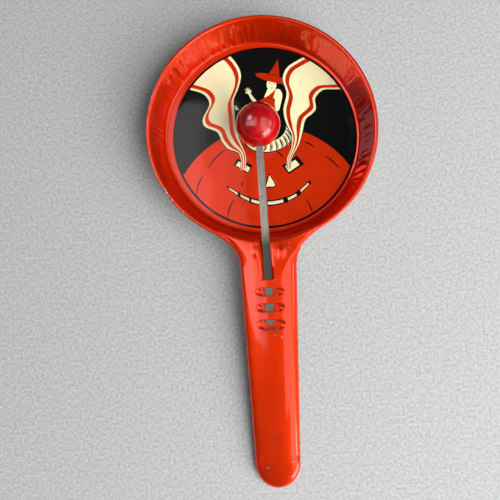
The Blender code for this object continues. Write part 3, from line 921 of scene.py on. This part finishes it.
def spring_steel():
    """Flat spring stock: grey, drawn along its length, with darker patches and a little rust."""
    m = Nodes("spring_steel", Metallic=1.0)
    drawn = m.noise(0.25, 3, (1, 0.03, 1))
    tone = m.colour(m.ramp(drawn, 0.3, 0.7), (0.46, 0.43, 0.37), (0.74, 0.69, 0.60))
    patches = m.ramp(m.noise(2.4, 5, (1, 0.5, 1), 0.65), 0.5, 0.68)
    tone = m.colour(m.maths("MULTIPLY", patches, 0.55), tone, (0.15, 0.14, 0.125))
    axis = m.add("ShaderNodeSeparateXYZ")
    m.link(m.place, axis, 0)
    # Painted shade: darker towards the straps, less so where the strip weaves.
    painted_shade_near_straps = m.ramp(axis.outputs[1], SHADE_FAINT_Y * MM, SHADE_FULL_Y * MM)
    woven = m.ramp(axis.outputs[1], WOVEN_FROM_Y * MM, WOVEN_FULL_Y * MM, 0.85, 0.5)
    tone = m.colour(m.maths("MULTIPLY", painted_shade_near_straps, woven), tone, (0.055, 0.052, 0.04))
    rust = m.ramp(m.noise(1.3, 6, rough=0.7), 0.66, 0.74)
    m.feed(m.colour(m.maths("MULTIPLY", rust, 0.6), tone, (0.12, 0.07, 0.04)), "Base Color")
    m.feed(m.maths("ADD", m.ramp(patches, 0, 1, 0.34, 0.48), m.maths("MULTIPLY", rust, 0.25)), "Roughness")
    m.bump((drawn, 0.2, 0.02), (rust, 0.3, 0.03))
    return m.material


def ball_paint():
    """Thick crimson dipping paint over turned wood: glossy, slightly uneven, darker in patches."""
    m = Nodes("crimson_ball_paint", IOR=1.5, Coat_Weight=0.6, Coat_Roughness=0.10)
    tone = m.colour(m.ramp(m.noise(4.5, 3), 0.35, 0.65), (0.30, 0.001, 0.003), (0.46, 0.002, 0.004))
    rings = m.noise(1.6, 3, (1, 0.25, 1))
    tone = m.colour(m.maths("MULTIPLY", m.ramp(rings, 0.45, 0.62), 0.35), tone, (0.20, 0.001, 0.003))
    flecks = m.ramp(m.noise(0.5, 2), 0.74, 0.79)
    m.feed(m.colour(m.maths("MULTIPLY", flecks, 0.5), tone, (0.10, 0.002, 0.003)), "Base Color")
    m.feed(m.ramp(m.noise(3.5, 4), 0.3, 0.75, 0.16, 0.30), "Roughness")
    m.bump((m.noise(2.2, 3), 0.25, 0.12), (rings, 0.12, 0.04), (m.noise(0.5, 2), 0.08, 0.02))
    return m.material


def floor_paint():
    """The pale studio floor: a plain matt surface with a fine tooth."""
    m = Nodes("pale_floor", Roughness=0.9)
    speckle = m.ramp(m.noise(1.2, 4), 0.3, 0.7)
    m.feed(m.colour(speckle, (0.305, 0.307, 0.304), (0.46, 0.463, 0.458)), "Base Color")
    m.bump((m.noise(0.9, 4), 0.35, 0.25))
    return m.material


# ---------------------------------------------------------------- pieces
# Where the rim is chipped most: clock angle and spread in degrees, and share of the worst.
RIM_CHIPS = ((218, 16, 1.0), (160, 14, 0.8))
RIM_WEAR = 0.45
RIM_CHIP_WEAR = 0.26
HANDLE_EDGE_WEAR = 0.22
CORNER_DARKENING = 0.35


def paint_wear(mesh):
    """Marks where the varnish is worn through (rim and edges), where shade is painted in and beside the
    slits, and where the corner between floor and wall is darker.
    """
    wear, shade_and_corner_dark = [], []
    for vert in mesh.vertices:
        x, y, z = vert.co / MM
        radius, clock = math.hypot(x, y), math.degrees(math.atan2(y, x)) % 360
        worn = 0.0
        if abs(radius - RIM_RADIUS) < 1.6 and z > RIM_HEIGHT - 2.6 and y > -0.88 * RIM_RADIUS:
            outer = smooth((radius - (RIM_RADIUS - 1.5)) / 0.7)
            chipped = sum(most * math.exp(-(((clock - at) / spread) ** 2)) for at, spread, most in RIM_CHIPS)
            worn = outer * (RIM_WEAR + RIM_CHIP_WEAR * chipped)
        elif y < FILLET_Y and abs(x) > half_width(y) - 0.1:
            worn = HANDLE_EDGE_WEAR
        wear.append(worn)
        darkness = 0.0
        # Darker in the corner between floor and wall.
        if radius < 46.5 and z < 3:
            darkness = CORNER_DARKENING * smooth((radius - 44.2) / 0.8) * smooth((46.3 - radius) / 0.9)
        # Painted shade in and beside the slits, standing in for the dark seen through them.
        if SLITS_Y[-1] - 0.6 < y < SLITS_Y[0] + 0.6 and abs(x) < SLIT_HALF_LENGTH + 0.4:
            near = min(abs(y - slit) for slit in SLITS_Y)
            darkness = max(darkness, smooth((0.55 - near) / 0.4))
        shade_and_corner_dark.append(darkness)
    for name, values in (("wear", wear), ("shade_and_corner_dark", shade_and_corner_dark)):
        mesh.attributes.new(name, "FLOAT", "POINT").data.foreach_set("value", values)


def make_pressing():
    enamel = litho_ink("orange_enamel", (0.90, 0.038, 0.0008), (0.70, 0.16, 0.09), 0.35, 0.80)
    black = litho_ink("black_ink", (0.0030, 0.0032, 0.0030), (0.05, 0.045, 0.04), 0.5, 0.0)
    cream = litho_ink("cream_ink", (0.80, 0.785, 0.46), (0.55, 0.28, 0.16), 0.5, 0.0)
    shade = litho_ink("grey_ink", (0.36, 0.31, 0.20), (0.20, 0.17, 0.12), 0.5, 0.0)
    inks = [enamel, black, cream, shade]
    pressing = mesh_object("tin_pressing", sheet_surface(), inks + [bare_tinplate()] * len(inks))
    solid = pressing.modifiers.new("Solidify", "SOLIDIFY")
    solid.thickness = SHEET * MM
    solid.offset = -1.0
    solid.material_offset = len(inks)
    solid.material_offset_rim = len(inks)
    apply_modifiers(pressing)
    pressing.data.shade_smooth()
    pressing.data.set_sharp_from_angle(angle=math.radians(48))
    paint_wear(pressing.data)
    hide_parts("pan_and_handle")
    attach(pressing, "noisemaker")
    return pressing


STRIP_WIDTH = 3.3
STRIP_THICKNESS = 0.4
STRIP_BELOW_CROWN = 0.6
STRIP_TAIL_Y = tail_low.y
STRIP_OFFSET = 0.4
STRIP_LEAN = math.tan(math.radians(0.95))
STRAP_PITCH = 3.45
SLOT_LENGTH = 14.0
SLOT_HEIGHT = 0.95
SLOT_SIDE_ROOM = 0.35
ball_centre = (ball_low + ball_high) / 2
BALL_RADIUS = (ball_high.y - ball_low.y) / 2


def strip_height(y):
    root = crown(SLITS_Y[0]) - STRIP_BELOW_CROWN
    if y <= SLITS_Y[0]:
        return crown(y) - STRIP_BELOW_CROWN
    reach = ball_centre.y - SLITS_Y[0]
    bow = (root + HANDLE_SLOPE * reach - ball_centre.z) / reach**2
    run = y - SLITS_Y[0]
    return root + HANDLE_SLOPE * run - bow * run * run


def make_strip():
    """The whole spring strip in one piece: sheared edges, a clipped end, a faint set at each strap."""
    bm = bmesh.new()
    half, thick = STRIP_WIDTH / 2, STRIP_THICKNESS / 2
    ease = 0.07
    section = [(-half, -thick + ease), (-half, thick - ease), (-half + ease, thick), (0, thick + 0.02),
               (half - ease, thick), (half, thick - ease), (half, -thick + ease), (half - ease, -thick),
               (-half + ease, -thick)]
    rings = []
    end = arm_high.y
    count = 240
    for k in range(count + 1):
        y = mix(STRIP_TAIL_Y, end, k / count)
        x = -STRIP_OFFSET - STRIP_LEAN * max(0.0, y - SLITS_Y[0])
        weave = 0.05 * math.sin((y - SLITS_Y[0]) / STRAP_PITCH * math.pi) if y < SLITS_Y[0] else 0.0
        z = strip_height(y) + weave
        free = smooth((y - SLITS_Y[0]) / 6) * smooth((end - 8 - y) / 6)
        z += 0.03 * noise.noise((y / 9.0, 0.3, 7.7)) * free
        rings.append([bm.verts.new((x + u, y, z + v)) for u, v in section])
    for a, b in zip(rings, rings[1:]):
        for i in range(len(section)):
            j = (i + 1) % len(section)
            bm.faces.new((a[i], b[i], b[j], a[j]))
    bm.faces.new(rings[0])
    bm.faces.new(rings[-1][::-1])
    bmesh.ops.recalc_face_normals(bm, faces=bm.faces)
    strip = mesh_object("spring_strip", bm, [spring_steel()])
    strip.data.shade_smooth()
    strip.data.set_sharp_from_angle(angle=math.radians(38))
    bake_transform(strip)
    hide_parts("spring_strip_tail", "spring_strip_arm")
    return strip


def make_ball():
    """A turned wooden bead, not quite round, with a sawn slot that the strip is driven into."""
    bm = bmesh.new()
    bmesh.ops.create_icosphere(bm, subdivisions=6, radius=BALL_RADIUS)
    for vert in bm.verts:
        n = vert.co.normalized()
        vert.co += n * (0.05 * noise.noise(n * 2.2) + 0.02 * noise.noise(n * 6.0) - 0.05)
    ball = mesh_object("wooden_ball", bm, [ball_paint()])
    ball.location = ball_centre * MM
    mouth_y = ball_centre.y - BALL_RADIUS
    slot = bmesh.new()
    bmesh.ops.create_cube(slot, size=1.0)
    slot_size = Vector((STRIP_WIDTH + SLOT_SIDE_ROOM, SLOT_LENGTH, SLOT_HEIGHT))
    bmesh.ops.scale(slot, vec=slot_size, verts=slot.verts)
    cutter = mesh_object("slot_cutter", slot, [])
    mouth_x = -STRIP_OFFSET - STRIP_LEAN * (mouth_y - SLITS_Y[0])
    cutter.location = Vector((mouth_x, mouth_y, strip_height(mouth_y) + 0.15)) * MM
    fall = (strip_height(mouth_y + 1) - strip_height(mouth_y - 1)) / 2
    cutter.rotation_euler = (math.atan(fall), 0, math.atan(STRIP_LEAN))
    cut = ball.modifiers.new("Slot", "BOOLEAN")
    cut.operation = "DIFFERENCE"
    cut.object = cutter
    bpy.context.view_layer.update()
    apply_modifiers(ball)
    bpy.data.objects.remove(cutter)
    ball.data.transform(Matrix.Translation(ball.location))
    ball.location = (0, 0, 0)
    ball.data.shade_smooth()
    ball.data.set_sharp_from_angle(angle=math.radians(40))
    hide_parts("clapper_ball")
    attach(ball, "clapper")
    return ball


# ---------------------------------------------------------------- studio
CAMERA_LENS = 40.32
CAMERA_PLACE = (-2.524, -69.980, 256.017)
CAMERA_TURN = (3.896, 1.402, -2.742)
FLOOR_HALF_SIZE = 4000
CEILING_HEIGHT = 1.0
# Name, near corner, far corner (metres) and radiance of each panel overhead.
CEILING_PANELS = (
    ("ceiling_near_left", (-0.30, -0.42), (-0.12, 0.36), 1.4),
    ("ceiling_edge_left", (-0.12, -0.42), (-0.04, 0.36), 0.6),
    ("ceiling_right", (0.27, -0.60), (1.00, 0.40), 1.3),
    ("ceiling_low_right", (0.50, -1.10), (1.60, -0.60), 1.5),
    ("ceiling_far_right", (1.45, -0.60), (3.00, 0.30), 2.5),
)


def make_camera():
    data = bpy.data.cameras.new("camera")
    data.sensor_width = 36
    data.lens = CAMERA_LENS
    data.clip_start = 0.01
    camera = bpy.data.objects.new("camera", data)
    bpy.context.scene.collection.objects.link(camera)
    camera.location = Vector(CAMERA_PLACE) * MM
    camera.rotation_euler = [math.radians(a) for a in CAMERA_TURN]
    bpy.context.scene.camera = camera


def area_light(name, at, size, power, aim=(0, -0.05, 0)):
    data = bpy.data.lights.new(name, "AREA")
    data.shape = "RECTANGLE"
    data.size, data.size_y = size
    data.energy = power
    light = bpy.data.objects.new(name, data)
    bpy.context.scene.collection.objects.link(light)
    light.location = at
    light.rotation_euler = (Vector(at) - Vector(aim)).to_track_quat("Z", "Y").to_euler()
    return light


def window(name, at, size, radiance):
    """A large soft source of the given radiance, facing the object."""
    return area_light(name, at, size, radiance * math.pi * size[0] * size[1])


def ceiling_panel(name, low, high, radiance):
    """A level panel over the object, seen as a light patch in the glossy tin."""
    size = (high[0] - low[0], high[1] - low[1])
    centre = ((low[0] + high[0]) / 2, (low[1] + high[1]) / 2, CEILING_HEIGHT)
    power = radiance * math.pi * size[0] * size[1]
    return area_light(name, centre, size, power, aim=(centre[0], centre[1], 0))


def make_studio():
    scene = bpy.context.scene
    bm = bmesh.new()
    bmesh.ops.create_grid(bm, x_segments=4, y_segments=4, size=FLOOR_HALF_SIZE)
    floor = mesh_object("floor", bm, [floor_paint()])
    for name, low, high, radiance in CEILING_PANELS:
        ceiling_panel(name, low, high, radiance)
    far_left = ceiling_panel("ceiling_far_left", (-2.20, -0.42), (-0.30, 0.15), 2.4)
    far_left.visible_diffuse = False
    window("window_right", (1.10, -1.25, 0.50), (1.1, 0.8), 6.0)
    left = window("window_left", (-0.82, 0.47, 0.90), (0.50, 0.42), 5.5)
    left.visible_diffuse = False
    softbox = area_light("softbox_right", (0.52, -0.42, 0.62), (1.00, 1.00), 15.6)
    softbox.visible_glossy = False
    world = bpy.data.worlds.new("world")
    world.use_nodes = True
    world.node_tree.nodes["Background"].inputs["Color"].default_value = (0.9, 0.93, 1.0, 1)
    world.node_tree.nodes["Background"].inputs["Strength"].default_value = 0.06
    scene.world = world
    scene.view_settings.view_transform = "Standard"


make_pressing()
make_strip()
make_ball()
make_camera()
make_studio()
